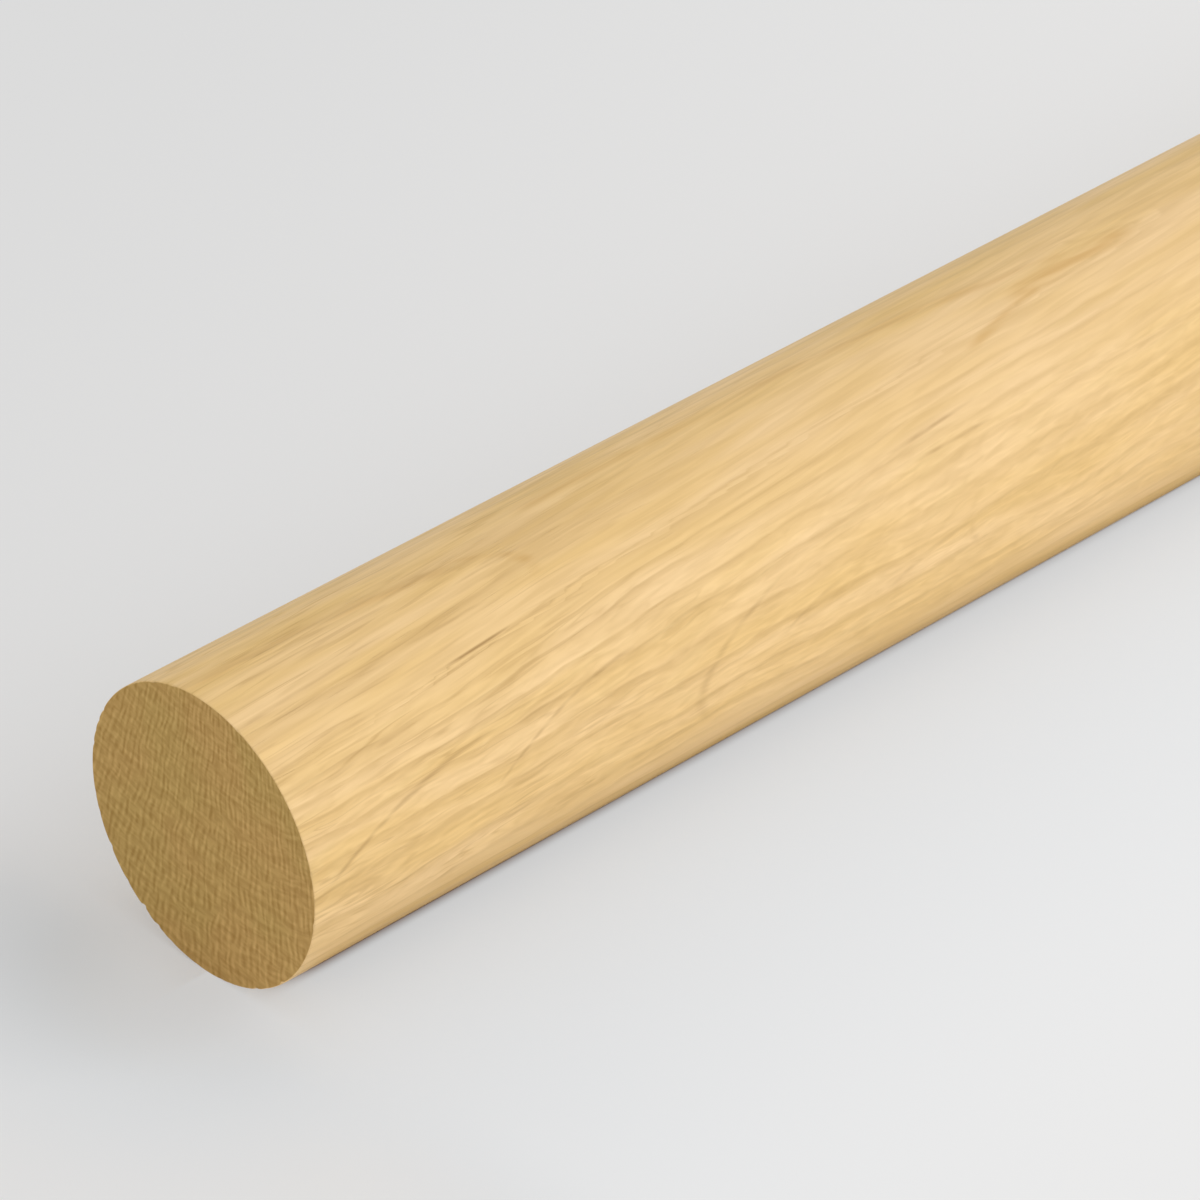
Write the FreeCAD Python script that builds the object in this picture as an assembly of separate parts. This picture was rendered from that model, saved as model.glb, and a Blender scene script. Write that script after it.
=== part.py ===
import FreeCAD, Part
import os

# Round stair handrail length: one straight bar of solid oak, sawn square at both ends.
# Sizes are in millimetres. +X runs along the rail and +Z is up. The origin is the middle
# of the line on which the rail lies on a level floor.

RAIL_DIAMETER = 42.0  # finished diameter, as the hand and the brackets meet it
RAIL_LENGTH = 2000.0  # between the two sawn ends
END_ARRIS = 0.3  # width of the broken edge round each sawn end

ALONG_RAIL = FreeCAD.Vector(1, 0, 0)


def near_end_centre():
    """Centre of the sawn end at -X: half a length back, one radius above the floor."""
    return FreeCAD.Vector(-RAIL_LENGTH / 2, 0, RAIL_DIAMETER / 2)


def round_section():
    """The rail's full round section, as a disc in the plane of the near end."""
    rim = Part.Circle(near_end_centre(), ALONG_RAIL, RAIL_DIAMETER / 2)
    return Part.Face(Part.Wire(rim.toShape()))


def straight_bar():
    """The round section carried along the rail from one sawn end to the other."""
    return round_section().extrude(ALONG_RAIL * RAIL_LENGTH)


def with_broken_arrises(bar):
    """The bar with the sharp edge round each sawn end taken off at 45 degrees."""
    end_rims = [edge for edge in bar.Edges if isinstance(edge.Curve, Part.Circle)]
    return bar.makeChamfer(END_ARRIS, end_rims)


def make_handrail():
    """The finished rail, one solid."""
    return with_broken_arrises(straight_bar())


os.makedirs("parts", exist_ok=True)
handrail = make_handrail()
handrail.exportStep("parts/handrail.step")
print("handrail: valid", handrail.isValid(), "solids", len(handrail.Solids),
      "volume in cubic mm", round(handrail.Volume))
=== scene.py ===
# %% [markdown]
# A round oak stair handrail
# This lesson dresses one straight length of round oak handrail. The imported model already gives
# its size and place, so the first step loads that frame and reads the few sizes that the rest
# is worked out from. Everything stays in that frame: metres, +X along the rail, +Z up, the
# origin on the floor under the middle of the rail. Fine features are written in millimetres,
# as a joiner would give them, and MM turns them into metres.

# %% Load the frame and read the rail's sizes
import bpy
import math
import numpy as np
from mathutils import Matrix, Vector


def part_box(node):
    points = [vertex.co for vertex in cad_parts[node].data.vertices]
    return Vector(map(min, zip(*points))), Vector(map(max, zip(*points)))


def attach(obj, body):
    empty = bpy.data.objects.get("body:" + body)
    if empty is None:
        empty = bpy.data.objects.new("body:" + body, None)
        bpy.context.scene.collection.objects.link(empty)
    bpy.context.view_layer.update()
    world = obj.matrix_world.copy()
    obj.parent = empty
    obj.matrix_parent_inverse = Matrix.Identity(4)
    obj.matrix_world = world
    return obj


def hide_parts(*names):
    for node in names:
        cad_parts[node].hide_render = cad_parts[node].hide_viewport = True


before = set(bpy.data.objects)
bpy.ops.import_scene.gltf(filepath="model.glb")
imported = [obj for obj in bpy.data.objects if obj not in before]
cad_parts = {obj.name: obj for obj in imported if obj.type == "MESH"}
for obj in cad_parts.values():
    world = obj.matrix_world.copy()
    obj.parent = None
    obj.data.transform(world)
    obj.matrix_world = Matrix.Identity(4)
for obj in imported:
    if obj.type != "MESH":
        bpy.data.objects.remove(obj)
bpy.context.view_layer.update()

MM = 0.001
rail_low, rail_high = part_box("handrail")
RAIL_LENGTH = rail_high[0] - rail_low[0]
RAIL_RADIUS = (rail_high[2] - rail_low[2]) / 2
AXIS_HEIGHT = (rail_high[2] + rail_low[2]) / 2
NEAR_END = np.array([rail_low[0], 0.0, AXIS_HEIGHT])
print(f"rail {RAIL_LENGTH / MM:.0f} mm long, {2 * RAIL_RADIUS / MM:.1f} mm across")

# %% [markdown]
# The camera comes first, because every later choice is judged through it. The photograph is a
# long-lens view down on the rail's near end. A camera could be moved about by eye until the
# picture fits. Here the ellipse of the sawn end and the two straight outlines of the side were
# enough to work out where it stood. Its place is given in rail radii from the middle of the
# near end, so it would follow a change of diameter.

# %% Camera at the photograph's viewpoint
PHOTO_WIDTH = 1200
FOCAL_PIXELS = 7257.1
SENSOR_WIDTH = 36.0
CAMERA_IN_RADII = np.array([-22.707, -26.966, 24.946])
CAMERA_AZIMUTH = math.radians(-43.944)
CAMERA_ELEVATION = math.radians(33.482)


def add_camera():
    """A level camera: the lens follows from the focal length in pixels of the photograph."""
    camera_data = bpy.data.cameras.new("photo_camera")
    camera_data.sensor_width = SENSOR_WIDTH
    camera_data.lens = FOCAL_PIXELS / PHOTO_WIDTH * SENSOR_WIDTH
    camera = bpy.data.objects.new("photo_camera", camera_data)
    camera.location = NEAR_END + CAMERA_IN_RADII * RAIL_RADIUS
    camera.rotation_euler = (math.pi / 2 - CAMERA_ELEVATION, 0.0, CAMERA_AZIMUTH)
    bpy.context.scene.collection.objects.link(camera)
    return camera


bpy.context.scene.camera = add_camera()
print("camera at", [round(c, 3) for c in bpy.context.scene.camera.location])

# %% [markdown]
# How the tree grew decides what shows on every face of the rail. A year's growth is a shell
# round the pith, the tree's middle line, and no shell is quite even: it wanders in and out by
# a fraction of a millimetre. A noise texture could bend the grain too, but only in a material.
# A few sine waves in random directions, added up, bend it for the mesh and the finish alike.

# %% Growth of the tree: slow waves of the grain
GROWTH_SEED = 7
WAVES_TOGETHER = 7
MORE_WAVES_IN_FRONT = 1.6
random = np.random.default_rng(GROWTH_SEED)


def make_waves(length, width, height):
    """Sine waves in seeded random directions, about length mm long along the rail and width mm
    long across it, that add up to a smooth wandering between about -height and height."""
    paces = random.normal(size=(WAVES_TOGETHER, 3)) / np.array([length, width, width])
    phases = random.uniform(0, 2 * math.pi, WAVES_TOGETHER)
    return height / math.sqrt(WAVES_TOGETHER), paces, phases


def waves_at(waves, places):
    """The sum of the waves at each place, in mm."""
    height, paces, phases = waves
    return height * np.sin(2 * math.pi * places @ paces.T + phases).sum(axis=1)


LONG_WAVES = make_waves(length=420.0, width=60.0, height=0.22)
BEND_WAVES = make_waves(length=110.0, width=30.0, height=0.16)
SHORT_WAVES = make_waves(length=50.0, width=9.0, height=0.12)
RIPPLES = make_waves(length=20.0, width=6.0, height=0.05)
RAY_WAVES = make_waves(length=60.0, width=25.0, height=0.20)
YEAR_WAVES = (LONG_WAVES, BEND_WAVES, SHORT_WAVES, RIPPLES)


def grain_waves(places):
    """How far the year shells are pushed outwards at each place, in mm: a little under the
    rail's top, where the shells lie flat, and more towards its front."""
    push = sum(waves_at(waves, places) for waves in YEAR_WAVES)
    forward = np.clip(-places[:, 1] * MM / RAIL_RADIUS, 0, 1)
    return push * (1 + MORE_WAVES_IN_FRONT * forward ** 2)


wander = sum(waves[0] for waves in YEAR_WAVES) * math.sqrt(WAVES_TOGETHER)
print(f"the year shells wander by up to about {wander:.2f} mm")

# %% [markdown]
# The pith is the line that every year's shell goes round. On this rail it ran about 95 mm above
# the axis, a little towards the camera, and climbed slowly along the rail. So the shells lie
# flat under the rail's top, where they come out as long tongues, and stand square to its front,
# where they come out as straight lines. Rings painted on each face would never meet at the
# edges. A distance from one line in space meets at every edge by itself.

# %% Growth of the tree: the pith
PITH_DISTANCE = 95.0
PITH_DIRECTION = math.radians(97.5)
PITH_CLIMB = 0.034
PITH_DRIFT = 0.060
PITH_SWAY = 2.0
PITH_SWAY_LENGTH = 1200.0


def from_pith(places):
    """(across, below, distance) of each place from the pith line, in mm.

    The line climbs and drifts back steadily along the rail and sways as a cosine. The distance
    also has the waves of the grain.
    """
    along, across, up = places.T
    sway = PITH_SWAY * (1 - np.cos(2 * math.pi * along / PITH_SWAY_LENGTH))
    pith_across = PITH_DISTANCE * math.cos(PITH_DIRECTION) + PITH_DRIFT * along
    pith_up = PITH_DISTANCE * math.sin(PITH_DIRECTION) + PITH_CLIMB * along - sway
    distance = np.hypot(across - pith_across, pith_up - up) + grain_waves(places)
    return across - pith_across, pith_up - up, distance


print(f"pith {from_pith(np.zeros((1, 3)))[2][0]:.1f} mm from the middle of the near end")

# %% [markdown]
# A year is a shell between two distances from the pith. Even years would look machine made, so
# those that show plainly in the photograph begin where they do there, and the others have random
# widths about a mean. Where a point lies in the tree is then worked out once, for the mesh to be
# carved by and for the finishes to be coloured by, so that the two can't disagree.

# %% Growth of the tree: the years round the pith
YEAR_WIDTH_MEAN = 2.2
YEAR_WIDTH_RANGE = (0.6, 1.4)
YEARS_EACH_WAY = 60
# places on the side where the photograph shows a year begin: mm along, degrees round from the back
YEAR_STARTS_SEEN = [(50, 98.6), (167, 94.8), (50, 124), (50, 130), (50, 136.5), (50, 144),
                    (50, 151.7), (50, 162), (50, 171), (50, 183), (50, 194)]


def year_edges():
    """Distances from the pith, in mm, at which each year begins: those that the photograph
    shows, and before and after them seeded random widths about the mean."""
    along, degrees = np.array(YEAR_STARTS_SEEN).T
    angle = np.radians(degrees)
    radius = RAIL_RADIUS / MM
    places = np.stack([along, radius * np.cos(angle), radius * np.sin(angle)], axis=-1)
    seen = np.sort(from_pith(places)[2])
    before = seen[0] - np.cumsum(YEAR_WIDTH_MEAN * random.uniform(*YEAR_WIDTH_RANGE, YEARS_EACH_WAY))
    after = seen[-1] + np.cumsum(YEAR_WIDTH_MEAN * random.uniform(*YEAR_WIDTH_RANGE, YEARS_EACH_WAY))
    return np.concatenate([before[::-1], seen, after])


def growth(points):
    """Where points in metres lie in the tree, as arrays by name.

    pith_mm: distance to the pith. years: that distance looked up in year_edges, so it counts
    years and parts of one. ray_mm: the angle round the pith times its usual distance, plus slow
    waves. along_mm: distance from the near end. front_mm: distance round the side, up from the
    middle of the front.
    """
    places = (points - NEAR_END) / MM
    across, below, pith_mm = from_pith(places)
    edges = year_edges()
    return {
        "years": np.interp(pith_mm, edges, np.arange(len(edges))),
        "pith_mm": pith_mm,
        "ray_mm": np.arctan2(across, below) * PITH_DISTANCE + waves_at(RAY_WAVES, places),
        "along_mm": places[:, 0],
        "front_mm": np.arctan2(places[:, 2], -places[:, 1]) * RAIL_RADIUS / MM,
    }


print(len(YEAR_STARTS_SEEN), "years begin as in the photograph,", 2 * YEARS_EACH_WAY, "by chance")

# %% [markdown]
# A saw leaves the rail's end with a sharp edge and tears out a few fibres on its way through,
# and a light sanding then breaks that edge. A Bevel modifier would break it evenly all round.
# Here the width of the broken edge is worked out for each angle, so that it can be nibbled in
# the places where the photograph shows it, and by chance elsewhere.

# %% The broken edge of a sawn end
ARRIS = 0.17
NICK_COUNT = 46
NICK_DEPTH = 0.36
NICK_RARITY = 3
NICK_WIDTH = math.radians(1.1)
NICKS_SEEN = [(305.0, 0.75), (296.5, 0.4), (28.5, 0.3)]
END_RINGS = 26
RING_CROWDING = 0.7
ARRIS_STEPS = 4


def broken_edge(angle, nicks=()):
    """Width in mm of the broken edge at each angle round a sawn end: a light sanding all
    round, plus nicks where the saw tore out fibres, each a narrow bell curve. Most are seeded,
    and those given come as degrees round from the back and width in mm."""
    places = random.uniform(0, 2 * math.pi, NICK_COUNT)
    widths = NICK_DEPTH * random.uniform(0, 1, NICK_COUNT) ** NICK_RARITY
    given = np.array(nicks).reshape(-1, 2)
    places = np.concatenate([places, np.radians(given[:, 0])])[:, None]
    widths = np.concatenate([widths, given[:, 1]])[:, None]
    gap = (angle - places + math.pi) % (2 * math.pi) - math.pi
    torn = (widths * np.exp(-(gap / NICK_WIDTH) ** 2)).sum(axis=0)
    return ARRIS + torn[None, :]


def half_outline(edge):
    """(inset, radius) in mm of one end: from its middle, out over the face and round the edge.

    The face runs out to the start of the broken edge, with rings closer together near the rim.
    The edge itself is a quarter of a circle as wide as edge.
    """
    radius = RAIL_RADIUS / MM
    face = np.linspace(0, 1, END_RINGS + 1)[1:, None] ** RING_CROWDING
    turn = np.linspace(0, math.pi / 2, ARRIS_STEPS + 1)[1:, None]
    inset = np.concatenate([0 * face * edge, edge * (1 - np.cos(turn))])
    reach = np.concatenate([face * (radius - edge), radius - edge + edge * np.sin(turn)])
    return inset, reach


print(f"edge {ARRIS} mm wide, with {NICK_COUNT + len(NICKS_SEEN)} nicks at the near end")

# %% [markdown]
# The rail itself is one skin: a point's place depends on how far round the rail it is and how
# far along a line drawn from the middle of one sawn end, over its edge, down the side and over
# the other edge. Blender's cylinder would give the same outline with a dead straight edge. As a
# grid worked out from two arrays the skin carries the nibbled edge, and has more points where
# the camera is close.

# %% The rail's skin: round the rail by along it
STEPS_ROUND = 384
SIDE_STEPS = 190
NEAR_STEP_SHARE = 0.12
STEP_GROWTH = 2.2


def side_stations():
    """Shares of the side's length from 0 to 1, close together at the near end, where the
    camera is, and evenly further apart towards the far end."""
    share = np.linspace(0, 1, SIDE_STEPS + 1)[1:-1, None]
    return NEAR_STEP_SHARE * share + (1 - NEAR_STEP_SHARE) * share ** STEP_GROWTH


def rail_grid():
    """Points of the skin in metres, as an array of lines from end to end by steps round."""
    angle = np.linspace(0, 2 * math.pi, STEPS_ROUND, endpoint=False)[None, :]
    length = RAIL_LENGTH / MM
    near_edge = broken_edge(angle, NICKS_SEEN)
    far_edge = broken_edge(angle)
    near_inset, near_reach = half_outline(near_edge)
    far_inset, far_reach = half_outline(far_edge)
    side = near_edge + side_stations() * (length - near_edge - far_edge)
    along = np.concatenate([near_inset, side, length - far_inset[::-1]])
    reach = np.concatenate([near_reach, np.full_like(side, RAIL_RADIUS / MM), far_reach[::-1]])
    place = np.stack([along, reach * np.cos(angle), reach * np.sin(angle)], axis=-1)
    return NEAR_END + place * MM


def skin_faces(lines, steps):
    """Quads between neighbouring lines, closed round the rail, and a fan to each pole."""
    line, step = np.meshgrid(np.arange(lines - 1), np.arange(steps), indexing="ij")
    after = (step + 1) % steps
    quads = np.stack([line * steps + step, (line + 1) * steps + step,
                      (line + 1) * steps + after, line * steps + after], axis=-1).reshape(-1, 4)
    step = np.arange(steps)
    after = (step + 1) % steps
    near_pole = lines * steps
    last = (lines - 1) * steps
    near_fan = np.stack([np.full(steps, near_pole), step, after], axis=-1)
    far_fan = np.stack([np.full(steps, near_pole + 1), last + after, last + step], axis=-1)
    return quads, np.concatenate([near_fan, far_fan])


grid = rail_grid()
poles = np.array([NEAR_END, NEAR_END + [RAIL_LENGTH, 0.0, 0.0]])
flat_points = np.concatenate([grid.reshape(-1, 3), poles])
quads, fans = skin_faces(*grid.shape[:2])
print(f"skin of {len(flat_points)} points, {2 * len(quads) + len(fans)} triangles")

# %% [markdown]
# The porous early wood of each year is softer than the late wood, so sanding leaves it a trace
# lower. A bump map could fake that. The furrows are cut into the points themselves, one shallow
# wave to a year, so that a raking light finds them from any side. The arrays then go into the
# mesh whole, which is far quicker than adding points one at a time.

# %% Furrows of the early wood, and the mesh
FURROW_DEPTH = 0.012
DEEPEST_AT = 0.2
SIDE_WITHIN = 0.01


def carve_furrows(points, years):
    """Points moved towards the rail's axis where the porous early wood of a year is: one cosine
    wave to a year, deepest soon after the year begins."""
    past_deepest = years - DEEPEST_AT
    depth = FURROW_DEPTH * MM * (1 + np.cos(2 * math.pi * past_deepest)) / 2
    reach = np.hypot(points[:, 1], points[:, 2] - AXIS_HEIGHT)
    on_side = reach > RAIL_RADIUS - SIDE_WITHIN * MM
    shrink = np.where(on_side, 1 - depth / RAIL_RADIUS, 1.0)
    carved = points.copy()
    carved[:, 1] *= shrink
    carved[:, 2] = AXIS_HEIGHT + (points[:, 2] - AXIS_HEIGHT) * shrink
    return carved


def make_mesh(name, points, quads, triangles):
    """A mesh from arrays of points, quads and triangles, filled in without a Python loop."""
    mesh = bpy.data.meshes.new(name)
    corners = np.concatenate([quads.ravel(), triangles.ravel()])
    sizes = np.concatenate([np.full(len(quads), 4), np.full(len(triangles), 3)])
    mesh.vertices.add(len(points))
    mesh.vertices.foreach_set("co", points.ravel())
    mesh.loops.add(len(corners))
    mesh.loops.foreach_set("vertex_index", corners)
    mesh.polygons.add(len(sizes))
    mesh.polygons.foreach_set("loop_start", np.concatenate([[0], np.cumsum(sizes)[:-1]]))
    mesh.update(calc_edges=True)
    mesh.validate()
    mesh.shade_smooth()
    return mesh


in_tree = growth(flat_points)
rail_mesh = make_mesh("handrail_oak", carve_furrows(flat_points, in_tree["years"]), quads, fans)
handrail = bpy.data.objects.new("handrail_oak", rail_mesh)
bpy.context.scene.collection.objects.link(handrail)
print(f"years {in_tree['years'].min():.1f} to {in_tree['years'].max():.1f} of the tree's growth")

# %% [markdown]
# A finish has to know where in the tree each point of the wood lies. Shader nodes could work
# that out again, but the mesh can simply keep the numbers, one set to a point, under names
# that an Attribute node reads.

# %% Where each point lies in the tree, kept on the mesh
def write_attribute(mesh, name, values):
    """Keeps one number for each point of the mesh under a name that a material can read."""
    attribute = mesh.attributes.new(name, "FLOAT", "POINT")
    attribute.data.foreach_set("value", values.astype(np.float32))


for name, values in in_tree.items():
    write_attribute(rail_mesh, name, values)
print("kept on the mesh:", ", ".join(in_tree))

# %% [markdown]
# A finish that is worked out point by point can only be carried to another program as a
# picture, and a picture needs a flat map. Blender can unwrap a mesh by itself, but it chooses
# the cuts. The rail's skin unrolls simply: the side is cut once along its length and once across
# its middle and laid out as two strips, squeezed lengthwise to fit, and the two sawn ends lie
# above them as discs. The finishes here never read this map.

# %% The skin laid out flat
MAP_MARGIN = 0.006
STRIP_STARTS = (0.006, 0.397)
STRIP_HEIGHT = 0.385
DISC_RADIUS = 0.1
DISC_CENTRES = ((0.11, 0.893), (0.34, 0.893))
LEAST_STEP = 1.5


def line_stations(grid):
    """Place of each line along the map, in mm: its distance from the first, with no step
    shorter than LEAST_STEP, so that the broken edges get room on the map too."""
    along = grid[:, :, 0].mean(axis=1) / MM
    return np.concatenate([[0.0], np.cumsum(np.maximum(np.diff(along), LEAST_STEP))])


def disc_map(points, centre, outward):
    """Places on the map of points on a sawn end, seen from outside: outward is -1 or 1."""
    right = outward * points[:, 1] / RAIL_RADIUS
    up = (points[:, 2] - AXIS_HEIGHT) / RAIL_RADIUS
    return np.array(centre) + DISC_RADIUS * np.stack([right, up], axis=-1)


def flat_map(grid, points, quads, fans):
    """A place on the map for each corner of each face: strips for the side, by line along and
    by step round, and discs for the ends."""
    lines, steps = grid.shape[:2]
    line, step = np.meshgrid(np.arange(lines - 1), np.arange(steps), indexing="ij")
    corner_line = np.stack([line, line + 1, line + 1, line], axis=-1).reshape(-1, 4)
    corner_step = np.stack([step, step, step + 1, step + 1], axis=-1).reshape(-1, 4)
    first = END_RINGS
    last = lines - 1 - END_RINGS
    stations = line_stations(grid)
    middle = int(np.searchsorted(stations, (stations[first] + stations[last]) / 2))
    face_line = corner_line[:, :1]
    later = (face_line >= middle).astype(int)
    starts = np.array([stations[first], stations[middle]])[later]
    lengths = np.array([stations[middle] - stations[first], stations[last] - stations[middle]])[later]
    right = MAP_MARGIN + (1 - 2 * MAP_MARGIN) * (stations[corner_line] - starts) / lengths
    up = np.array(STRIP_STARTS)[later] + STRIP_HEIGHT * (1 - corner_step / steps)
    near = disc_map(points, DISC_CENTRES[0], -1)
    far = disc_map(points, DISC_CENTRES[1], 1)
    face_line = face_line[:, :, None]
    side = np.stack([right, up], axis=-1)
    quad_map = np.where(face_line < first, near[quads], np.where(face_line >= last, far[quads], side))
    fan_map = np.concatenate([near[fans[:steps]], far[fans[steps:]]])
    return np.concatenate([quad_map.reshape(-1, 2), fan_map.reshape(-1, 2)])


flat = flat_map(grid, flat_points, quads, fans)
rail_mesh.uv_layers.new(name="OFBake").uv.foreach_set("vector", flat.astype(np.float32).ravel())
print("map from", flat.min(axis=0).round(3), "to", flat.max(axis=0).round(3))

# %% [markdown]
# The finishes and the floor are trees of shader nodes. In Blender's editor each node is placed
# and wired by hand. In a script, a few helpers that each add one node and hand back its output
# let a finish be written almost like a sum.

# %% Small helpers for building node trees
def connect(tree, value, socket):
    """Links a socket's value, or sets it where the value is a plain number or colour."""
    if isinstance(value, bpy.types.NodeSocket):
        tree.links.new(value, socket)
    else:
        socket.default_value = value


def add_node(tree, kind, settings=None, **inputs):
    """A new node with its settings and the values or links of its named inputs."""
    node = tree.nodes.new(kind)
    for name, value in (settings or {}).items():
        setattr(node, name, value)
    for name, value in inputs.items():
        connect(tree, value, node.inputs[name.replace("_", " ")])
    return node


def fill_in_order(tree, node, values):
    """The node, with its first inputs connected to the values in their order."""
    for value, socket in zip(values, node.inputs):
        connect(tree, value, socket)
    return node


def maths(tree, operation, *values):
    """The output of a Math node."""
    node = add_node(tree, "ShaderNodeMath", {"operation": operation})
    return fill_in_order(tree, node, values).outputs[0]


def vector_maths(tree, operation, *values, output="Vector"):
    """One output of a Vector Math node."""
    node = add_node(tree, "ShaderNodeVectorMath", {"operation": operation})
    return fill_in_order(tree, node, values).outputs[output]


def dot_product(tree, place, direction):
    """How far a place lies along a fixed direction."""
    return vector_maths(tree, "DOT_PRODUCT", place, direction, output="Value")


print("helpers made:", maths.__name__, vector_maths.__name__, dot_product.__name__)

# %% [markdown]
# Grain is never all or nothing, so most masks in this lesson are smooth steps from one number
# to another, and most colours are blends of two. A Color Ramp node could do both at once, but
# its stops are hidden inside it. With a step and a blend, every number stays in the script,
# where it has a name. Colours are written as they look on a screen and turned into the linear
# numbers that nodes take.

# %% Smooth steps, blends and colours
SCREEN_LEVELS = 255
SCREEN_KNEE = 0.04045
SCREEN_SLOPE = 12.92
SCREEN_OFFSET = 0.055
SCREEN_POWER = 2.4


def ramp(tree, value, start, end, low=0.0, high=1.0):
    """A smooth step of value: low up to start, high from end on."""
    node = add_node(tree, "ShaderNodeMapRange", {"interpolation_type": "SMOOTHSTEP"})
    return fill_in_order(tree, node, (value, start, end, low, high)).outputs[0]


def blend(tree, share, first, second):
    """The first colour turning into the second as share goes from 0 to 1."""
    node = add_node(tree, "ShaderNodeMix", {"data_type": "RGBA"})
    connect(tree, share, node.inputs[0])
    connect(tree, first, node.inputs[6])
    connect(tree, second, node.inputs[7])
    return node.outputs[2]


def srgb(red, green, blue):
    """A colour written as it looks on a screen, 0 to 255, as the linear numbers that nodes take."""
    screen = np.array([red, green, blue]) / SCREEN_LEVELS
    curve = ((screen + SCREEN_OFFSET) / (1 + SCREEN_OFFSET)) ** SCREEN_POWER
    return (*np.where(screen <= SCREEN_KNEE, screen / SCREEN_SLOPE, curve), 1.0)


print("middle grey as nodes take it:", round(float(srgb(128, 128, 128)[0]), 3))

# %% [markdown]
# Wood is a solid pattern: it is set in the tree, and the rail's faces only cut it open. So every
# pattern here is worked out in the tree's own directions, in millimetres, and the side and the
# ends agree without any unwrapping. Two textures do most of it: smooth noise, stretched to the
# size of what it stands for, and lone spots, one to a cell of a loose grid.

# %% Patterns set in the wood
CELL_RANDOMNESS = 0.6
CHOSEN_SOFTLY = 0.15


def reading(tree, name):
    """The number that the mesh keeps under a name, as a socket."""
    return add_node(tree, "ShaderNodeAttribute", {"attribute_name": name}).outputs["Fac"]


def stretched(tree, place, along, across):
    """A place in mm, measured in steps of along mm the first way and across mm the others."""
    return vector_maths(tree, "MULTIPLY", place, (1 / along, 1 / across, 1 / across))


def noise(tree, place, size, detail=1.0, curl=0.0):
    """Smooth noise from 0 to 1 with one wave for each step of that size, bent by curl steps."""
    node = add_node(tree, "ShaderNodeTexNoise", Vector=stretched(tree, place, *size), Scale=1.0,
                    Detail=detail, Distortion=curl)
    return node.outputs["Fac"]


def patchy(tree, place, size, shown, low=0.0, high=1.0, **settings):
    """Noise of that size made clearer: low up to the first value of shown, high from the second."""
    return ramp(tree, noise(tree, place, size, **settings), *shown, low, high)


def lean(tree, value):
    """How far a value from 0 to 1 lies above its middle, from -0.5 to 0.5."""
    return maths(tree, "SUBTRACT", value, 0.5)


def cells(tree, place, share, solid_to, gone_at):
    """Lone spots from 0 to 1, one at most in each cell of place: in about that share of the
    cells, solid up to solid_to from the cell's own point and gone at gone_at."""
    node = add_node(tree, "ShaderNodeTexVoronoi", Vector=place, Scale=1.0, Randomness=CELL_RANDOMNESS)
    chance = add_node(tree, "ShaderNodeSeparateColor", Color=node.outputs["Color"]).outputs["Red"]
    chosen = ramp(tree, maths(tree, "SUBTRACT", share, chance), 0.0, CHOSEN_SOFTLY)
    spot = ramp(tree, node.outputs["Distance"], solid_to, gone_at, 1.0, 0.0)
    return maths(tree, "MULTIPLY", chosen, spot)


def add_group_output(tree, **outputs):
    """Named outputs of a node group, each fed by a socket."""
    node = tree.nodes.new("NodeGroupOutput")
    for name, value in outputs.items():
        tree.interface.new_socket(name, in_out="OUTPUT", socket_type="NodeSocketFloat")
        tree.links.new(value, node.inputs[name])


print(f"patterns of noise, and of spots set {CELL_RANDOMNESS:.0%} at random in their cells")

# %% [markdown]
# Oak is told by three things at close range: the early wood of each year is full of open pores,
# which show as short dark dashes on a side and as dots on a sawn end; broad rays run out from
# the pith like thin upright sheets; and fine threads run along everything. A photograph of wood
# wrapped round the rail would show a seam and repeat itself, and patterns set in the tree do
# neither. First comes the year itself, which starts at a sharp frayed edge and fades outwards.

# %% The early wood of each year
CURL = 0.5
CALMER = (30.0, 140.0)
FRAY_SIZE = (8.0, 0.8)
FRAYED_BY = 0.20
YEAR_EDGE_NEAR = 0.10
YEAR_EDGE_FAR = 0.28
EARLY_FADES = (0.10, 0.55)
YEAR_LINE_FADES = (0.06, 0.28)
YEAR_LINE_PATCHES = (16.0, 1.6)
YEAR_LINE_SHOWN = (0.38, 0.66)


def early_wood(tree, place, along):
    """(early, year_line): the porous start of each year, and the line of its first edge.

    Both are smooth steps of the part of a year that has passed, frayed by noise. They begin
    more softly further along the rail, and the line comes and goes in patches.
    """
    frayed = noise(tree, place, FRAY_SIZE, curl=CURL)
    part = maths(tree, "FRACT", maths(tree, "MULTIPLY_ADD", frayed, FRAYED_BY, reading(tree, "years")))
    softness = ramp(tree, along, *CALMER, YEAR_EDGE_NEAR, YEAR_EDGE_FAR)
    begun = ramp(tree, part, 0.0, softness)
    early = maths(tree, "MULTIPLY", begun, ramp(tree, part, *EARLY_FADES, 1.0, 0.0))
    first_edge = maths(tree, "MULTIPLY", begun, ramp(tree, part, *YEAR_LINE_FADES, 1.0, 0.0))
    shown = patchy(tree, place, YEAR_LINE_PATCHES, YEAR_LINE_SHOWN)
    return early, maths(tree, "MULTIPLY", first_edge, shown)


print(f"early wood fades out over {EARLY_FADES[1]:.0%} of a year")

# %% [markdown]
# Pores are the tree's water pipes, cut open, and rays are thin sheets that carried sap across
# it. Both are lone shapes with room between them, far too many to place by hand. That is just
# what the spots of the loose grid are: long thin cells along the tree make the pores, and cells
# that stand along it and out from the pith make the rays.

# %% Pores and rays
PORE_SIZE = (7.0, 0.38)
PORE_SPOT = (0.08, 0.40)
PORES_IN_LATE = 0.08
MORE_PORES_IN_EARLY = 0.55
RAY_HEIGHT = 16.0
RAY_SPACING = 0.62
RAY_DEPTH = 26.0
RAY_SPOT = (0.20, 0.42)
RAY_SHARE = 0.5


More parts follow.
